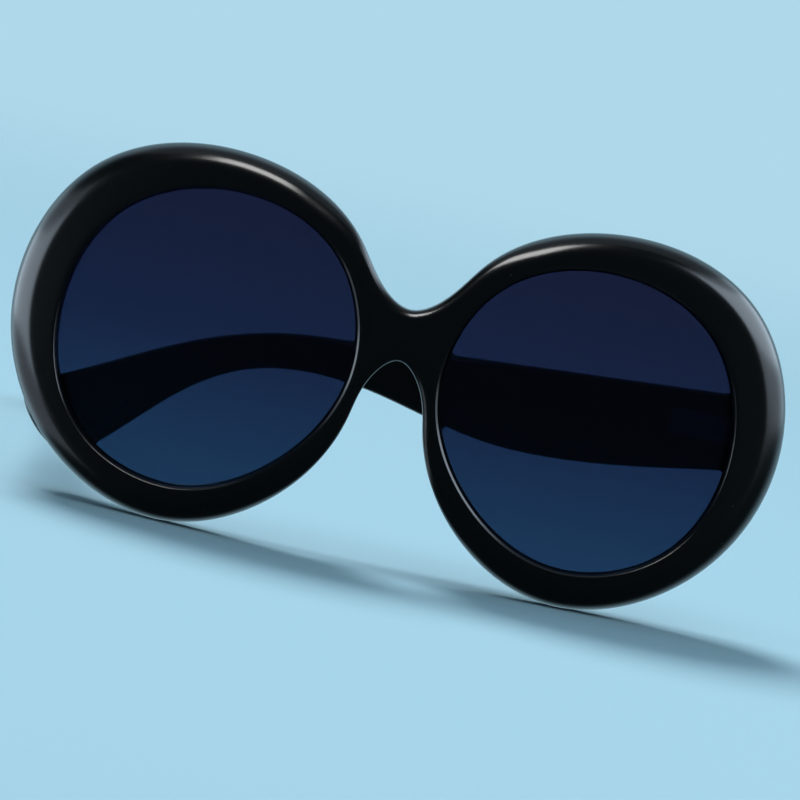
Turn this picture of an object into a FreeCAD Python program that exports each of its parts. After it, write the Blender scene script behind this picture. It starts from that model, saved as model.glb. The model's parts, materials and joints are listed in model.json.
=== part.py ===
"""Oversized round sunglasses: front, lenses, hinges and folding temples, in millimetres."""
import FreeCAD
import Part
import math
import os

Vector = FreeCAD.Vector
Placement = FreeCAD.Placement
Rotation = FreeCAD.Rotation

# Driving dimensions, in millimetres and degrees.
# Heights are measured from the lens centre, depths from the foremost point of the front.
SIZES = {
    # Lenses and rims
    "bridge_gap": 18.0,
    "eye_nose": 30.0,
    "eye_nose_low": 28.4,
    "eye_low": 30.2,
    "eye_outer_low": 31.1,
    "eye_outer": 29.8,
    "eye_outer_top": 30.7,
    "eye_top": 30.5,
    "eye_nose_top": 31.6,
    "rim_outer": 10.1,
    "rim_outer_top": 10.4,
    "rim_top": 7.7,
    "rim_nose_top": 5.6,
    "rim_nose_low": 5.5,
    "rim_low": 7.3,
    "rim_outer_low": 7.3,
    # Bridge
    "bridge_top": 14.6,
    "bridge_shoulder_x": 5.2,
    "bridge_shoulder_rise": 2.4,
    "arch_top": 4.1,
    "arch_side_rim": 3.8,
    "arch_side_drop": 4.9,
    "nose_side_rim": 1.3,
    "nose_side_drop": 13.6,
    # Curved plate of the front
    "front_radius": 240.0,
    "front_thickness": 6.5,
    "front_round": 4.4,
    "back_round": 1.2,
    # Lens in its groove
    "lens_setback": 2.0,
    "lens_thickness": 2.0,
    "groove_depth": 0.8,
    "groove_clearance": 0.05,
    # Lug behind the outer rim
    "lug_inset": 8.7,
    "lug_width": 7.0,
    "lug_depth": 2.9,
    "lug_height": 14.6,
    "lug_round": 0.8,
    # Hinge
    "hinge_offset": 0.6,
    "hinge_behind": 2.1,
    "hinge_z": 3.3,
    "hinge_height": 7.2,
    "knuckle_radius": 1.6,
    "middle_knuckle": 2.2,
    "knuckle_gap": 0.2,
    "swing_clearance": 0.4,
    "pin_radius": 0.75,
    "pin_clearance": 0.05,
    "pin_head_radius": 1.4,
    "pin_head_height": 0.8,
    "leaf_thickness": 1.0,
    "front_leaf_length": 6.8,
    "temple_leaf_start": 1.7,
    "temple_leaf_length": 12.0,
    "temple_leaf_height": 5.2,
    # Small leaf screws
    "screw_radius": 0.5,
    "screw_length": 3.4,
    "screw_head_radius": 0.95,
    "screw_head_height": 0.4,
    "slot_width": 0.3,
    "slot_depth": 0.25,
    "front_screw_spacing": 3.6,
    "front_screw_ahead": 4.8,
    "temple_screw_first": 5.4,
    "temple_screw_spacing": 5.6,
    # Temple, with lengths from the hinge axis
    "temple_thickness": 4.6,
    "temple_step": 2.0,
    "butt_gap": 0.3,
    "temple_round": 1.3,
    "root_top": 11.1,
    "root_low": -4.4,
    "root_low_angle": 8.5,
    "bend_start": 86.0,
    "bend_top": 4.6,
    "belly_length": 42.0,
    "belly_low": -9.8,
    "waist_length": 86.0,
    "waist_low": -3.1,
    "tip_length": 141.0,
    "tip_top": -16.4,
    "tip_top_angle": 22.5,
    "tip_low_length": 129.5,
    "tip_low": -29.2,
    "tip_low_angle": 36.0,
    # Wire core in the temple
    "core_radius": 0.7,
    "core_clearance": 0.05,
    "core_start": 17.0,
    "core_rise": 3.4,
    "core_bend": 92.0,
    "core_bend_rise": 0.7,
    "core_bend_radius": 40.0,
    "core_tip": 127.0,
    "core_tip_rise": -16.0,
    # Nose pads
    "pad_width": 2.6,
    "pad_depth": 9.0,
    "pad_height": 12.0,
    "pad_inset": 2.4,
    "pad_proud": 1.7,
    "pad_round": 1.2,
    "pad_glue": 0.05,
    "pad_drop": 13.0,
    "pad_tilt": 26.0,
    # Fold of the stored left temple, from fully open
    "left_fold_angle": 93.2,
}

# Places that follow from the driving dimensions, as formulas on the sheet.
PLACES = {
    "opening_inner_x": "bridge_gap / 2",
    "lens_centre_x": "opening_inner_x + eye_nose",
    "arch_half_width": "opening_inner_x - arch_side_rim",
    "nose_side_x": "opening_inner_x - nose_side_rim",
    "rim_edge_x": "lens_centre_x + eye_outer + rim_outer",
    "lug_inner_x": "rim_edge_x - lug_inset",
    "lug_outer_x": "lug_inner_x + lug_width",
    "lug_root_y": "front_radius - sqrt((front_radius - front_thickness / 2)^2 - lug_outer_x^2)",
    "lug_back_y": "front_radius - sqrt((front_radius - front_thickness)^2 - lug_outer_x^2) + lug_depth",
    "hinge_x": "lug_inner_x - hinge_offset",
    "hinge_y": "lug_back_y + hinge_behind",
    "front_screw_y": "hinge_y - front_screw_ahead",
    "temple_inner_x": "lug_inner_x + temple_step",
    "pad_x": "lens_centre_x - sqrt(eye_nose_low^2 - pad_drop^2) - pad_inset",
    "pad_y": "front_thickness + pad_proud",
}

TOOL_REACH = 80.0
LEAN_STEP = 0.0005

# Ways out from the middle of the +X lens, in degrees from +X towards +Z
WAYS = {"nose": 180, "nose_low": 225, "low": 270, "outer_low": 315, "outer": 0, "outer_top": 45, "top": 90,
        "nose_top": 135}

doc = FreeCAD.newDocument("sunglasses")
sheet = doc.addObject("Spreadsheet::Sheet", "sizes")
entries = [(alias, str(value)) for alias, value in SIZES.items()]
entries += [(alias, "=" + formula) for alias, formula in PLACES.items()]
for row, (alias, content) in enumerate(entries, start=1):
    sheet.set(f"A{row}", alias)
    sheet.setAlias(f"B{row}", alias)
    sheet.set(f"B{row}", content)
doc.recompute()


def size(alias):
    """The sheet's value of one driving dimension."""
    return float(sheet.get(alias))


def bind(obj, **expressions):
    """Ties properties of an object to expressions on the sheet's sizes."""
    for name, text in expressions.items():
        obj.setExpression(name, text)
    return obj


def seat(obj, x, y, z):
    """Ties an object's place to the sheet."""
    for axis, text in zip("xyz", (x, y, z)):
        obj.setExpression(f"Placement.Base.{axis}", text)
    return obj


def s(alias):
    """A sheet size as it is written in an expression."""
    return f"sizes.{alias}"


def box(name, x, y, z, length, width, height):
    """A block with its low corner and its sides given as expressions."""
    block = doc.addObject("Part::Box", name)
    bind(block, Length=length, Width=width, Height=height)
    return seat(block, x, y, z)


def mirrored(side, x, length):
    """Low corner in X of a block that runs outwards from x on either side."""
    return x if side > 0 else f"-({x}) - ({length})"


def cylinder(name, radius, height, x, y, z, direction=Vector(0, 0, 1)):
    """A round bar along a direction, with sizes and place given as expressions."""
    bar = doc.addObject("Part::Cylinder", name)
    bar.Placement.Rotation = Rotation(Vector(0, 0, 1), direction)
    bind(bar, Radius=radius, Height=height)
    return seat(bar, x, y, z)


def cut(name, base, tool):
    """The base with the tool taken away."""
    result = doc.addObject("Part::Cut", name)
    result.Base = base
    result.Tool = tool
    return result


def fuse(name, *pieces):
    """Several shapes joined into one."""
    result = doc.addObject("Part::MultiFuse", name)
    result.Shapes = list(pieces)
    return result


def common(name, first, second):
    """What two shapes share."""
    result = doc.addObject("Part::MultiCommon", name)
    result.Shapes = [first, second]
    return result


def extrude(name, base, direction, length):
    """A solid run of a closed outline along a direction."""
    run = doc.addObject("Part::Extrusion", name)
    run.Base = base
    run.DirMode = "Custom"
    run.Dir = direction
    run.Solid = True
    return bind(run, LengthFwd=length)


def fillet(name, base, picks):
    """Rounds the base's edges: picks gives each edge's radius, or None to leave it."""
    doc.recompute()
    rounded = doc.addObject("Part::Fillet", name)
    rounded.Base = base
    radii = [picks(edge) for edge in base.Shape.Edges]
    rounded.Edges = [(number, r, r) for number, r in enumerate(radii, start=1) if r]
    return rounded


def feature(name, shape):
    """A document object that holds a shape made with Part's own functions."""
    obj = doc.addObject("Part::Feature", name)
    obj.Shape = shape
    return obj


def side_name(side):
    """The wearer's side: left is at +X."""
    return "left" if side > 0 else "right"


def eye_point(way, beyond, side):
    """A point in one of the eight ways out from a lens's middle, a distance beyond the opening's edge."""
    angle = math.radians(WAYS[way])
    reach = size("eye_" + way) + beyond
    return Vector(side * (size("lens_centre_x") + reach * math.cos(angle)), 0, reach * math.sin(angle))


def front_outline():
    """Outline of the front: one smooth line round both rims and the bridge."""
    rims = [way for way in WAYS if way != "nose"]
    shoulder = size("bridge_top") + size("bridge_shoulder_rise")
    arch_side = size("arch_top") - size("arch_side_drop")
    nose_side = size("arch_top") - size("nose_side_drop")
    half = [Vector(size("nose_side_x"), 0, nose_side)]
    half += [eye_point(way, size("rim_" + way), 1) for way in rims]
    half += [Vector(size("bridge_shoulder_x"), 0, shoulder)]
    other_half = [Vector(-p.x, 0, p.z) for p in reversed(half)]
    arch = [Vector(-size("arch_half_width"), 0, arch_side), Vector(0, 0, size("arch_top")),
            Vector(size("arch_half_width"), 0, arch_side)]
    points = half + [Vector(0, 0, size("bridge_top"))] + other_half + arch
    curve = Part.BSplineCurve()
    curve.interpolate(Points=points, PeriodicFlag=True)
    corners = [curve.parameter(p) for p in (half[3], half[6], other_half[2], other_half[5])]
    return Part.Face(Part.Wire(curve.toShape().split(sorted(corners)).Edges))


def bend_shell(name, outer_radius, inner_radius):
    """A curved slab, bent about an upright axis behind the front."""
    axis_y = s("front_radius")
    low = f"{-TOOL_REACH}"
    tall = f"{2 * TOOL_REACH}"
    outer = cylinder(name + "_outer", outer_radius, tall, "0", axis_y, low)
    inner = cylinder(name + "_inner", inner_radius, tall, "0", axis_y, low)
    return cut(name, outer, inner)


def lens_prism(name, side, margin):
    """A bar through a lens opening, wider than it by a margin all round."""
    curve = Part.BSplineCurve()
    curve.interpolate(Points=[eye_point(way, margin, side) for way in WAYS], PeriodicFlag=True)
    section = feature(name + "_section", Part.Face(Part.Wire(curve.toShape())))
    section.Placement.Base = Vector(0, -TOOL_REACH / 2, 0)
    return extrude(name, section, Vector(0, 1, 0), f"{2 * TOOL_REACH}")


def radius_from_axis(point):
    """Distance of a point from the upright axis that the front bends about."""
    return math.hypot(point.x, point.y - size("front_radius"))


def build_front():
    """The front: a bent plate with two lens openings, grooves and a lug behind each outer rim."""
    outline = feature("front_outline", front_outline())
    slab = extrude("front_slab", outline, Vector(0, 1, 0), f"{TOOL_REACH}")
    shell = bend_shell("front_bend", s("front_radius"), f"{s('front_radius')} - {s('front_thickness')}")
    plate = common("front_plate", slab, shell)

    def edge_round(edge):
        """Large rounding on the front's outer edge and a small one on its back edge."""
        ends = [radius_from_axis(vertex.Point) for vertex in edge.Vertexes]
        if max(ends) - min(ends) > 0.1:
            return None
        on_front = abs(ends[0] - size("front_radius")) < 0.1
        return size("front_round") if on_front else size("back_round")

    rounded = fillet("front_rounded", plate, edge_round)
    lugs = [build_lug(side) for side in (1, -1)]
    blank = fuse("front_blank", rounded, *lugs)
    groove_out = f"{s('front_radius')} - {s('lens_setback')} + {s('groove_clearance')}"
    groove_in = f"{groove_out} - {s('lens_thickness')} - 2 * {s('groove_clearance')}"
    ring = bend_shell("groove_bend", groove_out, groove_in)
    tools = []
    for side in (1, -1):
        tools.append(lens_prism(f"opening_{side_name(side)}", side, 0))
        wide = lens_prism(f"groove_{side_name(side)}", side, size("groove_depth") + size("groove_clearance"))
        tools.append(common(f"groove_ring_{side_name(side)}", wide, ring))
        tools += [leaf_screw_bore(side, "front", lift) for lift in (-0.5, 0.5)]
    return cut("front", blank, fuse("front_cuts", *tools))


def build_lug(side):
    """The lug behind the outer rim, which carries the hinge and stops the temple."""
    depth = f"{s('lug_back_y')} - {s('lug_root_y')}"
    block = box(f"lug_block_{side_name(side)}", mirrored(side, s("lug_inner_x"), s("lug_width")),
                s("lug_root_y"), f"{s('hinge_z')} - {s('lug_height')} / 2",
                s("lug_width"), depth, s("lug_height"))

    def edge_round(edge):
        """The lug's edges that run front to back are rounded."""
        return size("lug_round") if abs(edge.tangentAt(edge.FirstParameter).y) > 0.9 else None

    return fillet(f"lug_{side_name(side)}", block, edge_round)


def build_lens(side):
    """A tinted lens, bent like the front and held in the rim's groove."""
    outer = f"{s('front_radius')} - {s('lens_setback')}"
    shell = bend_shell(f"lens_bend_{side_name(side)}", outer, f"{outer} - {s('lens_thickness')}")
    prism = lens_prism(f"lens_prism_{side_name(side)}", side, size("groove_depth"))
    return common(f"lens_{side_name(side)}", prism, shell)


def build_nose_pad(side):
    """A rounded oval pad glued to the back of the rim beside the nose."""
    tag = side_name(side)
    oval = doc.addObject("Part::Ellipse", f"pad_oval_{tag}")
    oval.Placement.Rotation = Rotation(Vector(0, 1, 0), -90 - side * size("pad_tilt"))
    bind(oval, MajorRadius=f"{s('pad_height')} / 2", MinorRadius=f"{s('pad_depth')} / 2")
    seat(oval, f"{side} * {s('pad_x')}", s("pad_y"), f"-{s('pad_drop')}")
    across = oval.Placement.Rotation.multVec(Vector(0, 0, 1))
    blank = extrude(f"pad_blank_{tag}", oval, across, s("pad_width"))
    blank.Symmetric = True
    pad = fillet(f"pad_rounded_{tag}", blank, lambda edge: size("pad_round") if edge.isClosed() else None)
    back_face = f"{s('front_radius')} - {s('front_thickness')} - {s('pad_glue')}"
    behind = cylinder(f"pad_seat_{tag}", back_face, f"{2 * TOOL_REACH}", "0", s("front_radius"),
                      f"{-TOOL_REACH}")
    return common(f"nose_pad_{tag}", pad, behind)


def knuckle(name, side, low, tall):
    """One hinge knuckle, from a height above the hinge's middle."""
    return cylinder(name, s("knuckle_radius"), tall, f"{side} * {s('hinge_x')}", s("hinge_y"),
                    f"{s('hinge_z')} + ({low})")


def pin_bore(name, side):
    """The bore through all of a hinge's knuckles."""
    return cylinder(name, f"{s('pin_radius')} + {s('pin_clearance')}", f"3 * {s('hinge_height')}",
                    f"{side} * {s('hinge_x')}", s("hinge_y"), f"{s('hinge_z')} - 1.5 * {s('hinge_height')}")


def build_front_leaf(side):
    """The fixed hinge leaf: a plate on the lug's flank with an upper and a lower knuckle."""
    tag = side_name(side)
    plate_x = f"{s('lug_inner_x')} - {s('leaf_thickness')}"
    low = f"{s('hinge_z')} - {s('hinge_height')} / 2"
    plate = box(f"front_plate_{tag}", mirrored(side, plate_x, s("leaf_thickness")),
                f"{s('hinge_y')} - {s('front_leaf_length')}", low,
                s("leaf_thickness"), s("front_leaf_length"), s("hinge_height"))
    gap = f"{s('middle_knuckle')} / 2 + {s('knuckle_gap')}"
    tall = f"{s('hinge_height')} / 2 - ({gap})"
    knuckles = [knuckle(f"low_knuckle_{tag}", side, f"-{s('hinge_height')} / 2", tall),
                knuckle(f"high_knuckle_{tag}", side, gap, tall)]
    reach = f"({s('knuckle_radius')} + {s('swing_clearance')})"
    notch = box(f"front_notch_{tag}", f"{side} * {s('hinge_x')} - {reach}", f"{s('hinge_y')} - {reach}",
                f"{s('hinge_z')} - ({gap})", f"2 * {reach}", f"2 * {reach}", f"2 * ({gap})")
    bores = [leaf_screw_bore(side, "front_leaf", lift) for lift in (-0.5, 0.5)]
    tools = fuse(f"front_leaf_cuts_{tag}", notch, pin_bore(f"front_bore_{tag}", side), *bores)
    return cut(f"hinge_front_leaf_{tag}", fuse(f"front_leaf_blank_{tag}", plate, *knuckles), tools)


def temple_leaf_x():
    """Inner face of the temple's leaf, which lies on the temple's inner face."""
    return f"({s('temple_inner_x')} - {s('leaf_thickness')})"


def build_temple_leaf(side):
    """The swinging hinge leaf: a plate on the temple with the middle knuckle."""
    tag = side_name(side)
    height = s("temple_leaf_height")
    plate = box(f"temple_plate_{tag}", mirrored(side, temple_leaf_x(), s("leaf_thickness")),
                f"{s('hinge_y')} + {s('temple_leaf_start')}", f"{s('hinge_z')} - {height} / 2",
                s("leaf_thickness"), s("temple_leaf_length"), height)
    arm_width = f"{s('temple_inner_x')} - {s('hinge_x')}"
    arm_back = f"{s('knuckle_radius')} / 2"
    arm = box(f"temple_arm_{tag}", mirrored(side, s("hinge_x"), arm_width), f"{s('hinge_y')} - {arm_back}",
              f"{s('hinge_z')} - {s('middle_knuckle')} / 2", arm_width,
              f"{arm_back} + {s('temple_leaf_start')} + {s('leaf_thickness')}", s("middle_knuckle"))
    middle = knuckle(f"middle_knuckle_{tag}", side, f"-{s('middle_knuckle')} / 2", s("middle_knuckle"))
    bores = [leaf_screw_bore(side, "temple_leaf", step) for step in (0, 1)]
    tools = fuse(f"temple_leaf_cuts_{tag}", pin_bore(f"temple_bore_{tag}", side), *bores)
    return cut(f"hinge_temple_leaf_{tag}", fuse(f"temple_leaf_blank_{tag}", plate, arm, middle), tools)


def build_pivot(side):
    """The hinge's pivot screw, with a slotted head on the upper knuckle."""
    tag = side_name(side)
    x = f"{side} * {s('hinge_x')}"
    top = f"{s('hinge_z')} + {s('hinge_height')} / 2"
    shank = cylinder(f"pivot_shank_{tag}", s("pin_radius"), s("hinge_height"), x, s("hinge_y"),
                     f"{top} - {s('hinge_height')}")
    head = cylinder(f"pivot_head_{tag}", s("pin_head_radius"), s("pin_head_height"), x, s("hinge_y"), top)
    slot = box(f"pivot_slot_{tag}", f"{x} - {s('pin_head_radius')}",
               f"{s('hinge_y')} - {s('slot_width')} / 2",
               f"{top} + {s('pin_head_height')} - {s('slot_depth')}", f"2 * {s('pin_head_radius')}",
               s("slot_width"), s("pin_head_height"))
    return cut(f"hinge_pivot_screw_{tag}", fuse(f"pivot_blank_{tag}", shank, head), slot)


def screw_seat(side, where, step):
    """Place of one leaf screw: the leaf's inner face, and the screw's depth and height."""
    if where.startswith("front"):
        face = f"({s('lug_inner_x')} - {s('leaf_thickness')})"
        return face, s("front_screw_y"), f"{s('hinge_z')} + {step} * {s('front_screw_spacing')}"
    along = f"{s('hinge_y')} + {s('temple_screw_first')} + {step} * {s('temple_screw_spacing')}"
    return temple_leaf_x(), along, s("hinge_z")


def outward(side):
    """The direction away from the wearer's head."""
    return Vector(side, 0, 0)


def leaf_screw_bore(side, where, step):
    """The hole that a leaf screw fills."""
    face, y, z = screw_seat(side, where, step)
    name = f"{where}_screw_bore_{side_name(side)}"
    return cylinder(name, s("screw_radius"), s("screw_length"), f"{side} * {face}", y, z, outward(side))


def build_leaf_screws(side, where, steps):
    """The two small slotted screws that hold one hinge leaf."""
    tag = side_name(side)
    screws = []
    for step in steps:
        face, y, z = screw_seat(side, where, step)
        name = f"{where}_screw_{tag}"
        shank = cylinder(name + "_shank", s("screw_radius"), s("screw_length"), f"{side} * {face}", y, z,
                         outward(side))
        head = cylinder(name + "_head", s("screw_head_radius"), s("screw_head_height"),
                        f"{side} * {face}", y, z, outward(-side))
        slot_x = mirrored(side, f"{face} - {s('screw_head_height')}", s("slot_depth"))
        slot = box(name + "_slot", slot_x, f"{y} - {s('screw_head_radius')}", f"{z} - {s('slot_width')} / 2",
                   s("slot_depth"), f"2 * {s('screw_head_radius')}", s("slot_width"))
        screws.append(cut(name + "_cut", fuse(name + "_blank", shank, head), slot))
    group = doc.addObject("Part::Compound", f"{where}_hinge_screws_{tag}")
    group.Links = screws
    return group


def spline(points, first_tangent, last_tangent):
    """A smooth edge through points, with a direction at each end."""
    curve = Part.BSplineCurve()
    curve.interpolate(Points=points, InitialTangent=first_tangent, FinalTangent=last_tangent)
    return curve.toShape()


def temple_point(length, rise):
    """A point of the temple's side profile, by its length from the hinge axis."""
    return Vector(0, size("hinge_y") + length, rise)


def slope_vector(degrees):
    """A direction along the temple that drops by an angle."""
    return Vector(0, math.cos(math.radians(degrees)), -math.sin(math.radians(degrees)))


def temple_profile():
    """Side profile of the temple: a straight top, a belly, a waist and a drooping paddle tip."""
    butt = size("lug_back_y") + size("butt_gap") - size("hinge_y")
    root_top = temple_point(butt, size("root_top"))
    root_low = temple_point(butt, size("root_low"))
    bend = temple_point(size("bend_start"), size("bend_top"))
    tip_top = temple_point(size("tip_length"), size("tip_top"))
    tip_low = temple_point(size("tip_low_length"), size("tip_low"))
    belly = temple_point(size("belly_length"), size("belly_low"))
    waist = temple_point(size("waist_length"), size("waist_low"))
    along_top = (bend - root_top).normalize()
    top = Part.makeLine(root_top, bend)
    over_tip = slope_vector(size("tip_top_angle"))
    back_from_tip = slope_vector(size("tip_low_angle")) * -1
    back = Vector(0, -1, 0)
    droop = spline([bend, tip_top], along_top, over_tip)
    end = spline([tip_top, tip_low], over_tip, back_from_tip)
    under_tip = spline([tip_low, waist], back_from_tip, back)
    under_belly = spline([waist, belly], back, back)
    under_root = spline([belly, root_low], back, slope_vector(size("root_low_angle")) * -1)
    butt_edge = Part.makeLine(root_low, root_top)
    return Part.Face(Part.Wire([top, droop, end, under_tip, under_belly, under_root, butt_edge]))


def core_path(side):
    """Centre line of the wire core: two straight runs joined by a tangent arc."""
    middle = side * (size("temple_inner_x") + size("temple_thickness") / 2)
    places = (("core_start", "core_rise"), ("core_bend", "core_bend_rise"), ("core_tip", "core_tip_rise"))
    start, corner, finish = (temple_point(size(length), size(rise)) + Vector(middle, 0, 0)
                             for length, rise in places)
    into = (corner - start).normalize()
    out = (finish - corner).normalize()
    half_turn = into.getAngle(out) / 2
    trim = size("core_bend_radius") * math.tan(half_turn)
    first = corner - into * trim
    last = corner + out * trim
    inward = (out - into).normalize()
    apex = corner + inward * (size("core_bend_radius") * (1 / math.cos(half_turn) - 1))
    bend = Part.Arc(first, apex, last).toShape()
    return Part.Wire([Part.makeLine(start, first), bend, Part.makeLine(last, finish)])


def core_solid(side, radius):
    """A round wire along the core's path."""
    path = core_path(side)
    start = path.OrderedVertexes[0].Point
    direction = path.OrderedEdges[0].tangentAt(path.OrderedEdges[0].FirstParameter)
    ring = Part.Wire(Part.makeCircle(radius, start, direction))
    return path.makePipeShell([ring], True, False)


def build_temple(side):
    """A temple: a flat bar of the side profile, rounded along its edges, bored for its wire and screws."""
    tag = side_name(side)
    profile = feature(f"temple_profile_{tag}", temple_profile())
    profile.Placement.Base = Vector(side * size("temple_inner_x"), 0, 0)
    bar = extrude(f"temple_bar_{tag}", profile, Vector(side, 0, 0), s("temple_thickness"))

    def edge_round(edge):
        """The long edges are rounded, the butt's edges and the seams across the bar are not."""
        along_x = abs(edge.tangentAt(edge.FirstParameter).x) > 0.9
        butt = size("lug_back_y") + size("butt_gap")
        at_butt = all(abs(vertex.Point.y - butt) < 0.01 for vertex in edge.Vertexes)
        return None if along_x or at_butt else size("temple_round")

    rounded = fillet(f"temple_rounded_{tag}", bar, edge_round)
    channel = feature(f"core_channel_{tag}", core_solid(side, size("core_radius") + size("core_clearance")))
    bores = [leaf_screw_bore(side, "temple", step) for step in (0, 1)]
    return cut(f"temple_{tag}", rounded, fuse(f"temple_cuts_{tag}", channel, *bores))


def build_core(side):
    """The stiffening wire inside a temple."""
    return feature(f"temple_core_{side_name(side)}", core_solid(side, size("core_radius")))


def hinge_axis_point(side):
    """A point on a hinge's axis."""
    return Vector(side * size("hinge_x"), size("hinge_y"), size("hinge_z"))


def stance(front, temple):
    """Leans the glasses back until both rims and the open temple's tip touch the floor, at height 0."""
    low, high = 0.0, 20.0
    while high - low > LEAN_STEP:
        lean = (low + high) / 2
        turn = Placement(Vector(), Rotation(Vector(1, 0, 0), -lean))
        turned = [shape.transformed(turn.toMatrix()) for shape in (front, temple)]
        heights = [shape.optimalBoundingBox(False).ZMin for shape in turned]
        low, high = (lean, high) if heights[1] > heights[0] else (low, lean)
    return Placement(Vector(0, 0, -heights[0]), Rotation(Vector(1, 0, 0), -lean))


def check(objects):
    """Stops if a feature failed or a sub-part has no valid solid."""
    for obj in doc.Objects:
        if {"Invalid", "Error"} & set(obj.State):
            raise RuntimeError(f"{obj.Label} failed: {obj.State}")
    for obj in objects:
        if obj.Shape.isNull() or not obj.Shape.isValid() or not obj.Shape.Solids:
            raise RuntimeError(f"{obj.Label} has no valid solid")


front_node = build_front()
fixed = [front_node]
swinging = {1: [], -1: []}
for side in (1, -1):
    fixed += [build_lens(side), build_nose_pad(side), build_front_leaf(side), build_pivot(side)]
    fixed.append(build_leaf_screws(side, "front", (-0.5, 0.5)))
    swinging[side] += [build_temple(side), build_core(side), build_temple_leaf(side)]
    swinging[side].append(build_leaf_screws(side, "temple", (0, 1)))
doc.recompute()
nodes = fixed + swinging[1] + swinging[-1]
check(nodes)

# The left temple is stored folded behind the lenses, the right one open.
fold = Placement(Vector(), Rotation(Vector(0, 0, 1), size("left_fold_angle")), hinge_axis_point(1))
standing = stance(front_node.Shape, swinging[-1][0].Shape)
for node in nodes:
    own = node.Placement
    node.Placement = standing * fold * own if node in swinging[1] else standing * own
check(nodes)

os.makedirs("parts", exist_ok=True)
for node in nodes:
    node.Shape.exportStep(f"parts/{node.Label}.step")
    box_now = node.Shape.BoundBox
    print(f"{node.Label}: {len(node.Shape.Solids)} solids, {node.Shape.Volume:.1f} mm3, "
          f"x {box_now.XMin:.1f}..{box_now.XMax:.1f} y {box_now.YMin:.1f}..{box_now.YMax:.1f} "
          f"z {box_now.ZMin:.1f}..{box_now.ZMax:.1f}")
axis = standing.Rotation.multVec(Vector(0, 0, 1))
print("lean", round(math.degrees(standing.Rotation.Angle), 3), "axis", [round(v, 6) for v in axis])
for side in (1, -1):
    print("hinge", side_name(side), [round(v, 4) for v in standing.multVec(hinge_axis_point(side))])
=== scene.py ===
"""Looks of a pair of oversized round sunglasses: polished black rims, graded lenses and steel hinges."""
from __future__ import annotations

import json
import logging
import math
from collections.abc import Iterator
from contextlib import contextmanager
from dataclasses import dataclass
from enum import Enum

import bpy
import numpy as np
from mathutils import Matrix, Vector


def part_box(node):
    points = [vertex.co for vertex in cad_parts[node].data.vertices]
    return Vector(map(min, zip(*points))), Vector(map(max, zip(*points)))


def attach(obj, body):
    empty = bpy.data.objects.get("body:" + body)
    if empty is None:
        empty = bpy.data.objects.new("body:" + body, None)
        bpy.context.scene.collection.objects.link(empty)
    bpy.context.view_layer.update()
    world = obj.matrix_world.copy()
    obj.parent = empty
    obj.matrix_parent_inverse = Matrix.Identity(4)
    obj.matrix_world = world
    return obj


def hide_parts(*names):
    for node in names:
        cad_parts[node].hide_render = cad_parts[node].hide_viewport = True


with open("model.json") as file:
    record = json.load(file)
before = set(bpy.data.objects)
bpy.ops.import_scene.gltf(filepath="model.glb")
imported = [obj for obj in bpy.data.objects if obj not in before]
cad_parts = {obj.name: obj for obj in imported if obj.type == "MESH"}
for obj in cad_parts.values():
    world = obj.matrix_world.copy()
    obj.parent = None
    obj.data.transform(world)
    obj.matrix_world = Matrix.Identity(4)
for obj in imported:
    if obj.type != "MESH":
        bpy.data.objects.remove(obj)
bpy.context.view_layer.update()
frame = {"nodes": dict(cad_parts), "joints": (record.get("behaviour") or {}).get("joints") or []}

log = logging.getLogger("sunglasses")
MM = 0.001
MERGE_WITHIN = 0.001 * MM
CREASE_DEGREES = 40.0
PICTURE_MIDDLE = Vector((1.8 * MM, 3.0 * MM, -3.5 * MM))
Colour = tuple[float, float, float, float]


class Side(Enum):
    """The wearer's sides, with the sign of X on each."""

    LEFT = 1
    RIGHT = -1

    @property
    def tag(self) -> str:
        """Lower-case word used in the names of pieces and nodes."""
        return self.name.lower()


class Slot(Enum):
    """Material slots of the record."""

    FRAME = "frame_black"
    PAD = "pad_black"
    LENS = "lens_tint"
    HINGE = "hinge_metal"
    SCREW = "screw_steel"


# Bench tools for meshes

def deselect_all() -> None:
    """Clears the selection, so an operator acts only on what is picked next."""
    bpy.ops.object.select_all(action="DESELECT")


def pick(piece: bpy.types.Object) -> None:
    """Makes one object the only selected and active one."""
    deselect_all()
    piece.select_set(True)
    bpy.context.view_layer.objects.active = piece


@contextmanager
def editing(piece: bpy.types.Object) -> Iterator[None]:
    """Keeps a piece in edit mode, with everything selected, while the block runs.

    Args:
        piece: The mesh object to edit.
    """
    pick(piece)
    bpy.ops.object.mode_set(mode="EDIT")
    bpy.ops.mesh.select_all(action="SELECT")
    yield
    bpy.ops.object.mode_set(mode="OBJECT")


def finish_with(piece: bpy.types.Object, kind: str, **settings: object) -> None:
    """Adds a modifier to a piece and applies it.

    Args:
        piece: The object to change.
        kind: The modifier's type name.
        settings: Values of the modifier's properties.
    """
    pick(piece)
    bpy.ops.object.modifier_add(type=kind)
    modifier = piece.modifiers[-1]
    for name, value in settings.items():
        setattr(modifier, name, value)
    bpy.ops.object.modifier_apply(modifier=modifier.name)


def copy_of_node(node: str, name: str) -> bpy.types.Object:
    """Copies a construction node's mesh into a new, merged object.

    Args:
        node: The node to copy.
        name: The new object's name.

    Returns:
        The new object, with its triangles joined at their corners.
    """
    piece = bpy.data.objects.new(name, frame["nodes"][node].data.copy())
    piece.data.name = name
    piece.data.materials.clear()
    bpy.context.scene.collection.objects.link(piece)
    with editing(piece):
        bpy.ops.mesh.remove_doubles(threshold=MERGE_WITHIN)
    return piece


def shade_smooth(piece: bpy.types.Object, crease_degrees: float | None = None) -> None:
    """Smooths a piece's shading, all over or up to a crease angle."""
    pick(piece)
    if crease_degrees is None:
        bpy.ops.object.shade_smooth()
    else:
        bpy.ops.object.shade_smooth_by_angle(angle=math.radians(crease_degrees))


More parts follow.
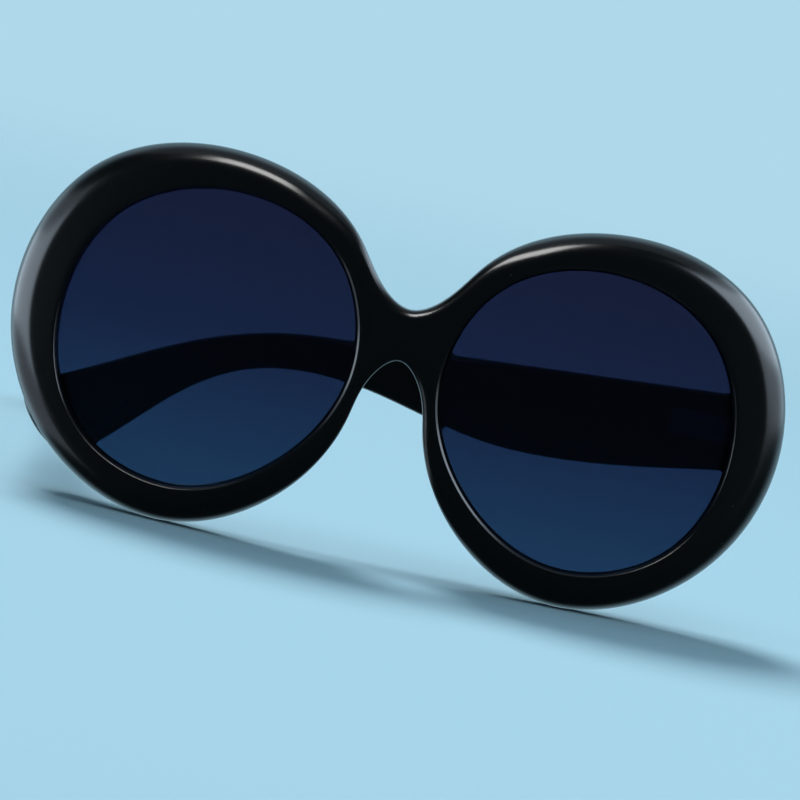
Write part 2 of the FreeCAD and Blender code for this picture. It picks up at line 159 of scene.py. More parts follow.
def smooth_loop(corners: list[Vector], steps: int) -> np.ndarray:
    """Runs a smooth closed line through corner points.

    Args:
        corners: The points, in order round the loop.
        steps: The number of steps from each corner to the next.

    Returns:
        Points along the line, starting at the first corner.
    """
    points = np.array([tuple(corner) for corner in corners])
    after = np.roll(points, -1, axis=0)
    spans = np.linalg.norm(after - points, axis=1)
    slopes = (after - points) / spans[:, None]
    count = len(points)
    system = np.zeros((count, count))
    pull = np.zeros_like(points)
    for i in range(count):
        before = 1 / spans[i - 1]
        ahead = 1 / spans[i]
        system[i, i - 1] = before
        system[i, i] = 2 * (before + ahead)
        system[i, (i + 1) % count] = ahead
        pull[i] = 3 * (before * slopes[i - 1] + ahead * slopes[i])
    directions = np.linalg.solve(system, pull)
    leaving = directions * spans[:, None]
    arriving = np.roll(directions, -1, axis=0) * spans[:, None]
    t = np.linspace(0, 1, steps, endpoint=False)[None, :, None]
    line = ((1 + 2 * t) * (1 - t) ** 2 * points[:, None] + t * (1 - t) ** 2 * leaving[:, None]
            + t * t * (3 - 2 * t) * after[:, None] + t * t * (t - 1) * arriving[:, None])
    return line.reshape(-1, 2)


def distance_to_loop(places: np.ndarray, loop: np.ndarray) -> np.ndarray:
    """Measures how far points are from a closed line.

    Args:
        places: The points to measure from.
        loop: Points along the line.

    Returns:
        The distance of each point.
    """
    runs = np.roll(loop, -1, axis=0) - loop
    offsets = places[:, None] - loop[None]
    shares = np.clip((offsets * runs).sum(axis=2) / (runs * runs).sum(axis=1), 0, 1)
    return np.linalg.norm(offsets - shares[:, :, None] * runs, axis=2).min(axis=1)


def fit_to_body(piece: bpy.types.Object, body: str, node: str,
                material: bpy.types.Material) -> None:
    """Dresses a piece, lets it stand for a node and ride on a body.

    Args:
        piece: The finished mesh object.
        body: The body that the piece moves with.
        node: The construction node that it stands for.
        material: The finish.
    """
    piece.data.materials.clear()
    piece.data.materials.append(material)
    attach(piece, body)
    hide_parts(node)
    log.info("%s on %s: %d faces", piece.name, body, len(piece.data.polygons))


# Shader tools and shared surface effects

class Tree:
    """A node tree with short calls that add and join nodes."""

    def __init__(self, tree: bpy.types.NodeTree) -> None:
        """Takes the tree that nodes are added to."""
        self.tree = tree

    def add(self, kind: str, **settings: object) -> bpy.types.Node:
        """Adds a node and sets its properties.

        Args:
            kind: The node's type name, without the leading ShaderNode.
            settings: Properties of the node.

        Returns:
            The new node.
        """
        node = self.tree.nodes.new(kind if kind.startswith("Node") else "ShaderNode" + kind)
        for name, value in settings.items():
            setattr(node, name, value)
        return node

    def join(self, source: bpy.types.NodeSocket, target: bpy.types.NodeSocket) -> None:
        """Links an output to an input."""
        self.tree.links.new(source, target)

    def mapped(self, vector: bpy.types.NodeSocket, scale: Vector, turn: Vector) -> bpy.types.NodeSocket:
        """Scales and turns coordinates.

        Args:
            vector: The coordinates.
            scale: Scale along each axis.
            turn: Turn about each axis, in degrees.

        Returns:
            The mapped coordinates.
        """
        mapping = self.add("Mapping")
        mapping.inputs["Scale"].default_value = scale
        mapping.inputs["Rotation"].default_value = [math.radians(angle) for angle in turn]
        self.join(vector, mapping.inputs["Vector"])
        return mapping.outputs["Vector"]

    def noise(self, vector: bpy.types.NodeSocket, scale: float, detail: float = 2.0) -> bpy.types.NodeSocket:
        """Adds a noise texture.

        Args:
            vector: The coordinates.
            scale: Cells to the metre.
            detail: Layers of finer noise.

        Returns:
            The noise value, near 0.5 on average.
        """
        texture = self.add("TexNoise")
        texture.inputs["Scale"].default_value = scale
        texture.inputs["Detail"].default_value = detail
        self.join(vector, texture.inputs["Vector"])
        return texture.outputs["Fac"]

    def ranged(self, value: bpy.types.NodeSocket, source: tuple[float, float],
               target: tuple[float, float]) -> bpy.types.NodeSocket:
        """Maps a value from one range onto another, held at the ends.

        Args:
            value: The value to map.
            source: The range it comes in.
            target: The range it leaves in.

        Returns:
            The mapped value.
        """
        node = self.add("MapRange", interpolation_type="SMOOTHSTEP")
        for label, number in zip(("From Min", "From Max", "To Min", "To Max"), (*source, *target)):
            node.inputs[label].default_value = number
        self.join(value, node.inputs["Value"])
        return node.outputs["Result"]

    def math(self, operation: str, first: bpy.types.NodeSocket,
             second: bpy.types.NodeSocket | float) -> bpy.types.NodeSocket:
        """Combines two values.

        Args:
            operation: The math node's operation.
            first: The first value.
            second: The second value, a socket or a number.

        Returns:
            The result.
        """
        node = self.add("Math", operation=operation)
        self.join(first, node.inputs[0])
        if isinstance(second, bpy.types.NodeSocket):
            self.join(second, node.inputs[1])
        else:
            node.inputs[1].default_value = second
        return node.outputs["Value"]

    def mixed(self, factor: bpy.types.NodeSocket, low: Colour, high: Colour) -> bpy.types.NodeSocket:
        """Mixes two colours by a factor that varies over the surface.

        Args:
            factor: 0 gives low and 1 gives high.
            low: The first colour.
            high: The second colour.

        Returns:
            The mixed colour.
        """
        node = self.add("Mix", data_type="RGBA")
        self.join(factor, node.inputs["Factor"])
        node.inputs[6].default_value = low
        node.inputs[7].default_value = high
        return node.outputs[2]


class Effect(Enum):
    """Surface effects shared by several finishes, each a shader node group."""

    RIPPLE = "polish_ripple"
    HAIRLINES = "hairline_scratches"
    DUST = "settled_dust"


class EffectShelf:
    """Builds each shared effect once and places it in the finishes that use it."""

    long_wave_scale = 70.0
    short_wave_scale = 420.0
    short_wave_share = 0.12
    scratch_turns = ((12, 34, 21), (-28, -61, 47))
    scratch_stretch = (1.0, 60.0, 60.0)
    scratch_scale = 65.0
    scratch_cut = (0.62, 0.72)
    speck_scale = 420.0
    speck_cut = (0.03, 0.09)
    patch_scale = 90.0
    patch_cut = (0.52, 0.68)

    def __init__(self) -> None:
        """Builds all groups."""
        self.groups = {
            Effect.RIPPLE: self.ripple_group(),
            Effect.HAIRLINES: self.hairline_group(),
            Effect.DUST: self.dust_group(),
        }

    @staticmethod
    def open_group(effect: Effect, output: str) -> tuple[Tree, bpy.types.NodeSocket, bpy.types.NodeSocket]:
        """Starts a group with coordinates going in and one value coming out.

        Args:
            effect: The effect that the group makes.
            output: The name of the value that comes out.

        Returns:
            The group's tree, its coordinates and the socket that its value goes to.
        """
        group = bpy.data.node_groups.new(effect.value, "ShaderNodeTree")
        group.interface.new_socket("Vector", in_out="INPUT", socket_type="NodeSocketVector")
        group.interface.new_socket(output, in_out="OUTPUT", socket_type="NodeSocketFloat")
        tree = Tree(group)
        way_in = tree.add("NodeGroupInput")
        way_out = tree.add("NodeGroupOutput")
        return tree, way_in.outputs["Vector"], way_out.inputs[output]

    def ripple_group(self) -> bpy.types.NodeTree:
        """Builds the faint long waves that hand polishing leaves.

        Returns:
            The group, with a height from 0 to 1.
        """
        tree, vector, out = self.open_group(Effect.RIPPLE, "Height")
        long_waves = tree.noise(vector, self.long_wave_scale, 1.0)
        short_waves = tree.noise(vector, self.short_wave_scale, 2.0)
        faint = tree.math("MULTIPLY", short_waves, self.short_wave_share)
        tree.join(tree.math("ADD", faint, long_waves), out)
        return tree.tree

    def hairline_group(self) -> bpy.types.NodeTree:
        """Builds fine scratches that run in two directions.

        Returns:
            The group, with a mask of 1 on a scratch.
        """
        tree, vector, out = self.open_group(Effect.HAIRLINES, "Mask")
        masks = []
        for turn in self.scratch_turns:
            along = tree.mapped(vector, Vector(self.scratch_stretch), Vector(turn))
            lines = tree.noise(along, self.scratch_scale, 3.0)
            masks.append(tree.ranged(lines, self.scratch_cut, (0.0, 1.0)))
        tree.join(tree.math("MAXIMUM", *masks), out)
        return tree.tree

    def dust_group(self) -> bpy.types.NodeTree:
        """Builds scattered specks of dust, thicker in some patches.

        Returns:
            The group, with a mask of 1 on a speck.
        """
        tree, vector, out = self.open_group(Effect.DUST, "Mask")
        cells = tree.add("TexVoronoi")
        cells.inputs["Scale"].default_value = self.speck_scale
        tree.join(vector, cells.inputs["Vector"])
        specks = tree.ranged(cells.outputs["Distance"], self.speck_cut, (1.0, 0.0))
        patches = tree.ranged(tree.noise(vector, self.patch_scale), self.patch_cut, (0.0, 1.0))
        tree.join(tree.math("MULTIPLY", specks, patches), out)
        return tree.tree

    def place(self, tree: Tree, effect: Effect, vector: bpy.types.NodeSocket) -> bpy.types.NodeSocket:
        """Places an effect in a finish.

        Args:
            tree: The finish's tree.
            effect: The effect to place.
            vector: The coordinates that it reads.

        Returns:
            The effect's value.
        """
        node = tree.add("Group")
        node.node_tree = self.groups[effect]
        tree.join(vector, node.inputs["Vector"])
        return node.outputs[0]


def new_finish(name: str) -> tuple[bpy.types.Material, Tree, bpy.types.Node, bpy.types.NodeSocket]:
    """Starts a material.

    Args:
        name: The material's name.

    Returns:
        The material, its tree, its main shader and the piece's own coordinates.
    """
    material = bpy.data.materials.new(name)
    material.use_nodes = True
    tree = Tree(material.node_tree)
    shader = material.node_tree.nodes["Principled BSDF"]
    return material, tree, shader, tree.add("TexCoord").outputs["Object"]


def add_bump(tree: Tree, shader: bpy.types.Node, height: bpy.types.NodeSocket, strength: float,
             distance: float) -> None:
    """Raises a surface by a height that varies over it.

    Args:
        tree: The finish's tree.
        shader: The shader whose normal is changed.
        height: The height, from 0 to 1.
        strength: The bump's share.
        distance: The height of 1, in metres.
    """
    bump = tree.add("Bump")
    bump.inputs["Strength"].default_value = strength
    bump.inputs["Distance"].default_value = distance
    tree.join(height, bump.inputs["Height"])
    tree.join(bump.outputs["Normal"], shader.inputs["Normal"])


@dataclass(frozen=True)
class PolishedAcetate:
    """Black plastic with a deep polish, faint ripples, hairlines and dust."""

    name: str
    body: Colour = (0.0035, 0.0036, 0.0042, 1.0)
    speck: Colour = (0.055, 0.06, 0.065, 1.0)
    roughness: tuple[float, float] = (0.2, 0.3)
    hairline_share: float = 0.5
    ripple_strength: float = 0.5
    ripple_height: float = 0.02 * MM
    gloss_index: float = 1.6

    def material(self, effects: EffectShelf) -> bpy.types.Material:
        """Builds the finish.

        Args:
            effects: The shared surface effects.

        Returns:
            The material.
        """
        material, tree, shader, vector = new_finish(self.name)
        dust = effects.place(tree, Effect.DUST, vector)
        hairlines = effects.place(tree, Effect.HAIRLINES, vector)
        ripple = effects.place(tree, Effect.RIPPLE, vector)
        tree.join(tree.mixed(dust, self.body, self.speck), shader.inputs["Base Color"])
        marks = tree.math("MAXIMUM", tree.math("MULTIPLY", hairlines, self.hairline_share), dust)
        tree.join(tree.ranged(marks, (0.0, 1.0), self.roughness), shader.inputs["Roughness"])
        add_bump(tree, shader, ripple, self.ripple_strength, self.ripple_height)
        shader.inputs["IOR"].default_value = self.gloss_index
        return material


@dataclass(frozen=True)
class GradedTint:
    """Lens plastic with a tint that is darkest at the top."""

    name: str
    low_edge: float
    high_edge: float
    bottom: Colour = (0.028, 0.06, 0.122, 1.0)
    middle: Colour = (0.0205, 0.027, 0.068, 1.0)
    top: Colour = (0.0215, 0.019, 0.049, 1.0)
    middle_stop: float = 0.5
    top_stop: float = 0.95
    roughness: tuple[float, float] = (0.0, 0.05)
    index: float = 1.45

    def material(self, effects: EffectShelf) -> bpy.types.Material:
        """Builds the finish.

        Args:
            effects: The shared surface effects.

        Returns:
            The material.
        """
        material, tree, shader, vector = new_finish(self.name)
        split = tree.add("SeparateXYZ")
        tree.join(vector, split.inputs["Vector"])
        height = tree.add("MapRange")
        height.inputs["From Min"].default_value = self.low_edge
        height.inputs["From Max"].default_value = self.high_edge
        tree.join(split.outputs["Z"], height.inputs["Value"])
        ramp = tree.add("ValToRGB")
        stops = ramp.color_ramp.elements
        stops[0].color = self.bottom
        stops[1].color = self.top
        stops[1].position = self.top_stop
        stops.new(self.middle_stop).color = self.middle
        tree.join(height.outputs["Result"], ramp.inputs["Fac"])
        tree.join(ramp.outputs["Color"], shader.inputs["Base Color"])
        dust = effects.place(tree, Effect.DUST, vector)
        tree.join(tree.ranged(dust, (0.0, 1.0), self.roughness), shader.inputs["Roughness"])
        shader.inputs["Transmission Weight"].default_value = 1.0
        shader.inputs["IOR"].default_value = self.index
        return material


@dataclass(frozen=True)
class BrushedSteel:
    """Stamped or turned steel with fine lines and a little tarnish."""

    name: str
    bright: Colour = (0.62, 0.62, 0.63, 1.0)
    dull: Colour = (0.38, 0.38, 0.40, 1.0)
    roughness: tuple[float, float] = (0.2, 0.42)
    line_fineness: float = 9.0
    line_strength: float = 0.3
    line_height: float = 0.01 * MM
    tarnish_scale: float = 600.0
    tarnish_cut: tuple[float, float] = (0.35, 0.7)

    def material(self, effects: EffectShelf) -> bpy.types.Material:
        """Builds the finish.

        Args:
            effects: The shared surface effects.

        Returns:
            The material.
        """
        material, tree, shader, vector = new_finish(self.name)
        fine = tree.mapped(vector, Vector((self.line_fineness,) * 3), Vector((0, 0, 0)))
        hairlines = effects.place(tree, Effect.HAIRLINES, fine)
        tarnish = tree.ranged(tree.noise(vector, self.tarnish_scale, 3.0), self.tarnish_cut, (0.0, 1.0))
        tree.join(tree.mixed(tarnish, self.bright, self.dull), shader.inputs["Base Color"])
        marks = tree.math("MAXIMUM", hairlines, tarnish)
        tree.join(tree.ranged(marks, (0.0, 1.0), self.roughness), shader.inputs["Roughness"])
        add_bump(tree, shader, hairlines, self.line_strength, self.line_height)
        shader.inputs["Metallic"].default_value = 1.0
        return material


# Pieces of the glasses

@dataclass(frozen=True)
class PolishedForm:
    """How a moulded black piece is rounded off by tumbling and polishing."""

    voxel: float = 0.4 * MM
    passes: int = 24
    factor: float = 0.5

    def build(self, node: str, name: str) -> bpy.types.Object:
        """Makes a softly rounded copy of a node.

        Args:
            node: The node to copy.
            name: The new piece's name.

        Returns:
            The rounded piece.
        """
        piece = copy_of_node(node, name)
        finish_with(piece, "REMESH", mode="VOXEL", voxel_size=self.voxel)
        finish_with(piece, "SMOOTH", factor=self.factor, iterations=self.passes)
        shade_smooth(piece)
        return piece


@dataclass
class FrontPlane:
    """The front's own axes, found from a hinge: x to the wearer's left, y backwards and z up."""

    hinge_depth: float = 24.631 * MM
    hinge_rise: float = 3.3 * MM

    def matrix(self) -> Matrix:
        """Turns the front's own coordinates into the shared frame.

        Returns:
            The matrix, with the origin at lens height on the foremost point.
        """
        hinge = next(j for j in frame["joints"] if j["name"] == "temple_right_hinge")
        up = Vector(hinge["axis"]).normalized()
        back = up.cross(Vector((1, 0, 0)))
        place = Vector(hinge["pos_m"])
        place.x = 0.0
        origin = place - back * self.hinge_depth - up * self.hinge_rise
        turn = Matrix((Vector((1, 0, 0)), back, up)).transposed()
        return Matrix.Translation(origin) @ turn.to_4x4()


@dataclass(frozen=True)
class EyeShape:
    """Shape of a lens opening, for its rim and its lens, with ways in degrees from the outer side up."""

    centre_x: float = 39.0 * MM
    bend_radius: float = 240.0 * MM
    radii: tuple[tuple[float, float], ...] = (
        (180, 30.0 * MM), (225, 28.4 * MM), (270, 30.2 * MM), (315, 31.1 * MM), (0, 29.8 * MM),
        (45, 30.7 * MM), (90, 30.5 * MM), (135, 31.6 * MM))
    steps: int = 40

    def corner(self, degrees: float, beyond: float = 0.0) -> Vector:
        """A point in one of the listed ways, a distance beyond the opening's edge, from the lens's middle."""
        angle = math.radians(degrees)
        return Vector((math.cos(angle), math.sin(angle))) * (dict(self.radii)[degrees] + beyond)

    def reach(self, rays: np.ndarray) -> np.ndarray:
        """Finds how far the opening's edge is from its middle.

        Args:
            rays: The ways to look, each of any length but none.

        Returns:
            The distance in each way.
        """
        loop = smooth_loop([self.corner(degrees) for degrees, _ in self.radii], self.steps)
        turns = np.arctan2(loop[:, 1], loop[:, 0])
        return np.interp(np.arctan2(rays[:, 1], rays[:, 0]), turns, np.hypot(*loop.T), period=2 * math.pi)


class Face(Enum):
    """The two faces of the front's plate, with the sign of the way into the plate."""

    FRONT = 1
    BACK = -1


@dataclass
class RimPlate:
    """The front's bent plate, in strips that run round each lens opening from the face to the back."""

    eye: EyeShape = EyeShape()
    thickness: float = 6.5 * MM
    rim_round: tuple[float, float] = (4.4 * MM, 4.4 * MM)
    bridge_round: tuple[float, float] = (2.0 * MM, 1.5 * MM)
    round_blend: tuple[float, float] = (9.0 * MM, 24.0 * MM)
    back_round: float = 1.2 * MM
    most_round: float = 0.75
    front_ledge: tuple[tuple[float, float], ...] = ((0.05 * MM, 1.5 * MM), (0.45 * MM, 2.05 * MM))
    back_ledge: tuple[tuple[float, float], ...] = ((0.5 * MM, 3.95 * MM),)
    lip: float = 0.55 * MM
    lip_profile: tuple[tuple[float, float], ...] = (
        (0.85, 0.04), (0.72, 0.14), (0.14, 0.72), (0.04, 0.85), (0.0, 1.0))
    bridge_top: float = 14.6 * MM
    shoulder: tuple[float, float] = (5.2 * MM, 17.0 * MM)
    arch_top: float = 4.1 * MM
    arch_side: tuple[float, float] = (5.2 * MM, -0.8 * MM)
    nose_side: tuple[float, float] = (7.7 * MM, -9.5 * MM)
    rim_widths: tuple[tuple[float, float], ...] = (
        (225, 5.5 * MM), (270, 7.3 * MM), (315, 7.3 * MM), (0, 10.1 * MM), (45, 10.4 * MM), (90, 7.7 * MM),
        (135, 5.6 * MM))
    columns: int = 360
    outline_steps: int = 60
    round_steps: int = 10
    face_steps: int = 8

    def corners(self) -> list[Vector]:
        """Lists the outline's corner points.

        Returns:
            Points of x and height, from the top of the arch round the +X rim and back on the other side.
        """
        half = [Vector(self.arch_side), Vector(self.nose_side)]
        middle = Vector((self.eye.centre_x, 0))
        half += [middle + self.eye.corner(degrees, width) for degrees, width in self.rim_widths]
        half.append(Vector(self.shoulder))
        other = [Vector((-corner.x, corner.y)) for corner in reversed(half)]
        return [Vector((0, self.arch_top)), *half, Vector((0, self.bridge_top)), *other]

    def quarter_turn(self, steps: int) -> np.ndarray:
        """Angles of a quarter circle, from 0 to a right angle."""
        return np.linspace(0, math.pi / 2, steps + 1)

    def column_ends(self, outline: np.ndarray) -> np.ndarray:
        """Spaces the outer ends of the strips' cross lines.

        Args:
            outline: The whole outline, from the top of the arch.

        Returns:
            Ends along the +X half of the outline, then down the middle of the bridge.
        """
        half = outline[:len(outline) // 2 + 1]
        lengths = np.concatenate(([0], np.cumsum(np.linalg.norm(np.diff(half, axis=0), axis=1))))
        places = np.linspace(0, lengths[-1], self.columns + 1)
        rim = np.column_stack([np.interp(places, lengths, half[:, axis]) for axis in (0, 1)])
        rim[[0, -1], 0] = 0.0
        inward = self.bridge_round[0] * (1 - np.cos(self.quarter_turn(self.round_steps)))[1:]
        upper = self.bridge_top - inward
        lower = self.arch_top + inward[::-1]
        heights = np.concatenate((upper, np.linspace(upper[-1], lower[0], self.face_steps)[1:-1], lower))
        return np.vstack((rim, np.column_stack((np.zeros_like(heights), heights))))

    def rounding(self, face: Face, x: np.ndarray) -> tuple[np.ndarray, np.ndarray]:
        """Finds how far the outer edge is rounded: broadly on the rims and closely at the bridge.

        Args:
            face: The face that the edge belongs to.
            x: Places across the front.

        Returns:
            The width and the depth of the rounding at each place.
        """
        if face is Face.BACK:
            return np.full_like(x, self.back_round), np.full_like(x, self.back_round)
        start, end = self.round_blend
        share = np.clip((np.abs(x) - start) / (end - start), 0, 1)
        share = share * share * (3 - 2 * share)
        width, depth = (low + (high - low) * share for low, high in zip(self.bridge_round, self.rim_round))
        return width, depth

    def bent_depth(self, x: np.ndarray, below: float) -> np.ndarray:
        """Depth of the bent plate at places across the front, a way below its front face."""
        return self.eye.bend_radius - np.sqrt((self.eye.bend_radius - below) ** 2 - x ** 2)

    def half_profile(self, outline: np.ndarray, face: Face) -> list[np.ndarray]:
        """Runs from the outer edge over one face of the plate and down the lens opening to the lens.

        Args:
            outline: The whole outline.
            face: The face to run over.

        Returns:
            Rings of points, each with one point to a cross line.
        """
        ends = self.column_ends(outline)
        rays = ends - (self.eye.centre_x, 0)
        distances = np.linalg.norm(rays, axis=1)
        lengths = distances - self.eye.reach(rays)
        ways = -rays / distances[:, None]
        room = lengths - self.lip
        round_room = np.minimum(self.rounding(face, ends[:, 0])[0], self.most_round * room)
        runs = [round_room * (1 - math.cos(turn)) for turn in self.quarter_turn(self.round_steps)]
        shares = np.linspace(0, 1, self.face_steps + 1)[1:]
        runs += [round_room + (room - round_room) * share for share in shares]
        inset = 0.0 if face is Face.FRONT else self.thickness
        rings = []
        for run in runs:
            places = ends + ways * run[:, None]
            width, depth = self.rounding(face, places[:, 0])
            share = np.clip(1 - distance_to_loop(places, outline) / width, 0, 1)
            drop = depth * (1 - np.sqrt(1 - share ** 2))
            surface = self.bent_depth(places[:, 0], inset) + face.value * drop
            rings.append(np.column_stack((places[:, 0], surface, places[:, 1])))
        edge = rings[-1][:, 1]
        for outward, below in self.lip_profile:
            places = ends + ways * (lengths - self.lip * outward)[:, None]
            rings.append(np.column_stack((places[:, 0], edge + face.value * self.lip * below, places[:, 1])))
        for inward, below in self.front_ledge if face is Face.FRONT else self.back_ledge:
            places = ends + ways * (lengths + inward)[:, None]
            rings.append(np.column_stack((places[:, 0], self.bent_depth(places[:, 0], below), places[:, 1])))
        return rings

    def build(self) -> bpy.types.Object:
        """Joins the strips of one half and mirrors them.

        Returns:
            The plate, in the shared frame.
        """
        outline = smooth_loop(self.corners(), self.outline_steps)
        rings = self.half_profile(outline, Face.FRONT)
        rings += reversed(self.half_profile(outline, Face.BACK))
        count = len(rings[0])
        faces = []
        for ring in range(len(rings)):
            after = (ring + 1) % len(rings)
            across_edge = after == 0
            for column in range(self.columns if across_edge else count):
                beside = (column + 1) % count
                faces.append((ring * count + column, ring * count + beside, after * count + beside,
                              after * count + column))
        to_frame = FrontPlane().matrix()
        mesh = bpy.data.meshes.new("front_polished")
        mesh.from_pydata([to_frame @ Vector(point) for ring in rings for point in ring], [], faces)
        piece = bpy.data.objects.new("front_polished", mesh)
        bpy.context.scene.collection.objects.link(piece)
        finish_with(piece, "MIRROR", merge_threshold=MERGE_WITHIN)
        with editing(piece):
            bpy.ops.mesh.normals_make_consistent(inside=False)
        return piece


@dataclass
class Lug:
    """The block behind an outer rim that carries the hinge."""

    side: Side
    inner_x: float = 70.2 * MM
    width: float = 7.0 * MM
    root_depth: float = 16.2 * MM
    back_depth: float = 22.53 * MM
    rise: float = 3.3 * MM
    height: float = 14.6 * MM
    edge_round: float = 0.6 * MM

    def build(self) -> bpy.types.Object:
        """Models the lug from a cube.

        Returns:
            The lug, in the shared frame.
        """
        deselect_all()
        bpy.ops.mesh.primitive_cube_add(size=1.0)
        piece = bpy.context.object
        piece.name = f"lug_{self.side.tag}"
        across = self.side.value * (self.inner_x + self.width / 2)
        with editing(piece):
            bpy.ops.transform.resize(value=(self.width, self.back_depth - self.root_depth, self.height))
            bpy.ops.transform.translate(value=(across, (self.back_depth + self.root_depth) / 2, self.rise))
        finish_with(piece, "BEVEL", width=self.edge_round, segments=4, limit_method="ANGLE")
        piece.data.transform(FrontPlane().matrix())
        return piece


@dataclass
class Lens:
    """A bent, tinted lens with a ground edge."""

    side: Side
    eye: EyeShape = EyeShape()
    groove: float = 0.8 * MM
    setback: float = 2.0 * MM
    thickness: float = 2.0 * MM
    edge_bevel: float = 0.15 * MM
    edge_degrees: float = 50.0
    corners: int = 128
    rings: int = 14

    def build(self) -> bpy.types.Object:
        """Models the lens from a disc.

        Returns:
            The lens, in the shared frame.
        """
        deselect_all()
        bpy.ops.mesh.primitive_circle_add(vertices=self.corners, radius=1.0, fill_type="NGON",
                                          rotation=(math.pi / 2, 0, 0))
        piece = bpy.context.object
        piece.name = f"lens_{self.side.tag}_tinted"
        bpy.ops.object.transform_apply(location=False, rotation=True, scale=False)
        with editing(piece):
            for _ in range(self.rings - 1):
                bpy.ops.mesh.inset(thickness=1.0 / self.rings, depth=0.0)
            bpy.ops.mesh.poke()
        finish_with(piece, "SOLIDIFY", thickness=self.thickness, offset=0.0)
        self.bend(piece)
        with editing(piece):
            bpy.ops.mesh.normals_make_consistent(inside=False)
        finish_with(piece, "BEVEL", width=self.edge_bevel, segments=2, limit_method="ANGLE",
                    angle_limit=math.radians(self.edge_degrees))
        shade_smooth(piece, CREASE_DEGREES)
        return piece

    def bend(self, piece: bpy.types.Object) -> None:
        """Gives a flat disc the opening's outline, bends it and moves it into the shared frame."""
        middle = self.eye.bend_radius - self.setback - self.thickness / 2
        to_frame = FrontPlane().matrix()
        rays = np.array([(vertex.co.x * self.side.value, vertex.co.z) for vertex in piece.data.vertices])
        for vertex, reach in zip(piece.data.vertices, self.eye.reach(rays) + self.groove):
            x = self.side.value * self.eye.centre_x + vertex.co.x * reach
            radius = middle - vertex.co.y
            y = self.eye.bend_radius - math.sqrt(radius * radius - x * x)
            vertex.co = to_frame @ Vector((x, y, vertex.co.z * reach))


@dataclass(frozen=True)
class Hardware:
    """A small metal piece: a copy of its node with broken edges."""

    edge: float = 0.05 * MM
    crease_degrees: float = 35.0
    flat_degrees: float = 2.0

    def build(self, node: str, name: str) -> bpy.types.Object:
        """Makes a copy with narrow bevels on its sharp edges.

        Args:
            node: The node to copy.
            name: The new piece's name.

        Returns:
            The bevelled piece.
        """
        piece = copy_of_node(node, name)
        with editing(piece):
            bpy.ops.mesh.dissolve_limited(angle_limit=math.radians(self.flat_degrees))
        finish_with(piece, "BEVEL", width=self.edge, segments=2, limit_method="ANGLE",
                    angle_limit=math.radians(self.crease_degrees))
        shade_smooth(piece, self.crease_degrees)
        return piece


class Sunglasses:
    """All pieces of the glasses, built and dressed in order."""

    def __init__(self) -> None:
        """Builds the shared effects and the finishes, and starts the set of lenses."""
        effects = EffectShelf()
        self.lenses = bpy.data.collections.new("lenses")
        low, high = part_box("lens_left")
        self.acetate = PolishedAcetate("polished_black").material(effects)
        self.pad = PolishedAcetate("satin_black_pad", roughness=(0.22, 0.32)).material(effects)
        self.tint = GradedTint("graded_tint", low.z, high.z).material(effects)
        self.leaf_steel = BrushedSteel("hinge_leaf_steel").material(effects)
        self.screw_steel = BrushedSteel("bright_screw_steel", roughness=(0.12, 0.3)).material(effects)
        self.core_steel = BrushedSteel("drawn_core_wire", bright=(0.56, 0.55, 0.52, 1.0)).material(effects)

    def build_front(self) -> None:
        """Builds the front with its lenses, nose pads and fixed hinge pieces."""
        front = RimPlate().build()
        lugs = [Lug(side).build() for side in Side]
        pick(front)
        for lug in lugs:
            lug.select_set(True)
        bpy.ops.object.join()
        shade_smooth(front, CREASE_DEGREES)
        fit_to_body(front, "front", "front", self.acetate)
        for side in Side:
            lens = Lens(side).build()
            fit_to_body(lens, "front", f"lens_{side.tag}", self.tint)
            self.lenses.objects.link(lens)
            node = f"nose_pad_{side.tag}"
            pad = PolishedForm(voxel=0.3 * MM, passes=6).build(node, f"{node}_moulded")
            fit_to_body(pad, "front", node, self.pad)
            for stem, slot, material in (("hinge_front_leaf", Slot.HINGE, self.leaf_steel),
                                         ("hinge_pivot_screw", Slot.SCREW, self.screw_steel),
                                         ("front_hinge_screws", Slot.SCREW, self.screw_steel)):
                self.build_hardware(f"{stem}_{side.tag}", "front", material)
        for lens in self.lenses.collection_objects:
            lens.light_linking.link_state = "EXCLUDE"

    def build_temple(self, side: Side) -> None:
        """Builds one temple with its hinge leaf, screws and core."""
        body = f"temple_{side.tag}"
        bar = PolishedForm().build(body, f"{body}_polished")
        fit_to_body(bar, body, body, self.acetate)
        self.build_hardware(f"hinge_temple_leaf_{side.tag}", body, self.leaf_steel)
        self.build_hardware(f"temple_hinge_screws_{side.tag}", body, self.screw_steel)
        core = frame["nodes"][f"temple_core_{side.tag}"]
        core.data.materials.clear()
        core.data.materials.append(self.core_steel)

    def build_hardware(self, node: str, body: str, material: bpy.types.Material) -> None:
        """Builds one small metal piece that stands for its node."""
        fit_to_body(Hardware().build(node, f"{node}_finished"), body, node, material)

    def build(self) -> None:
        """Builds every piece."""
        self.build_front()
        for side in Side:
            self.build_temple(side)


# Floor, light and camera

@dataclass
class SoftBox:
    """A soft light panel that points at the glasses and either shows in their polish or fills the shadows."""

    name: str
    place: Vector
    width: float
    height: float
    radiance: float
    colour: tuple[float, float, float] = (0.72, 0.86, 1.0)
    in_polish: bool = True

    def build(self, target: Vector, left_out: bpy.types.Collection) -> None:
        """Makes the light.

        Args:
            target: The point that it faces.
            left_out: The pieces that it doesn't light.
        """
        lamp = bpy.data.lights.new(self.name, "AREA")
        lamp.shape = "RECTANGLE"
        lamp.size = self.width
        lamp.size_y = self.height
        lamp.energy = self.radiance * math.pi * self.width * self.height
        lamp.color = self.colour
        box = bpy.data.objects.new(self.name, lamp)
        box.location = self.place
        box.rotation_euler = (target - self.place).to_track_quat("-Z", "Y").to_euler()
        box.visible_camera = False
        box.visible_diffuse = not self.in_polish
        box.visible_glossy = self.in_polish
        box.visible_transmission = False
        box.light_linking.receiver_collection = left_out
        bpy.context.scene.collection.objects.link(box)


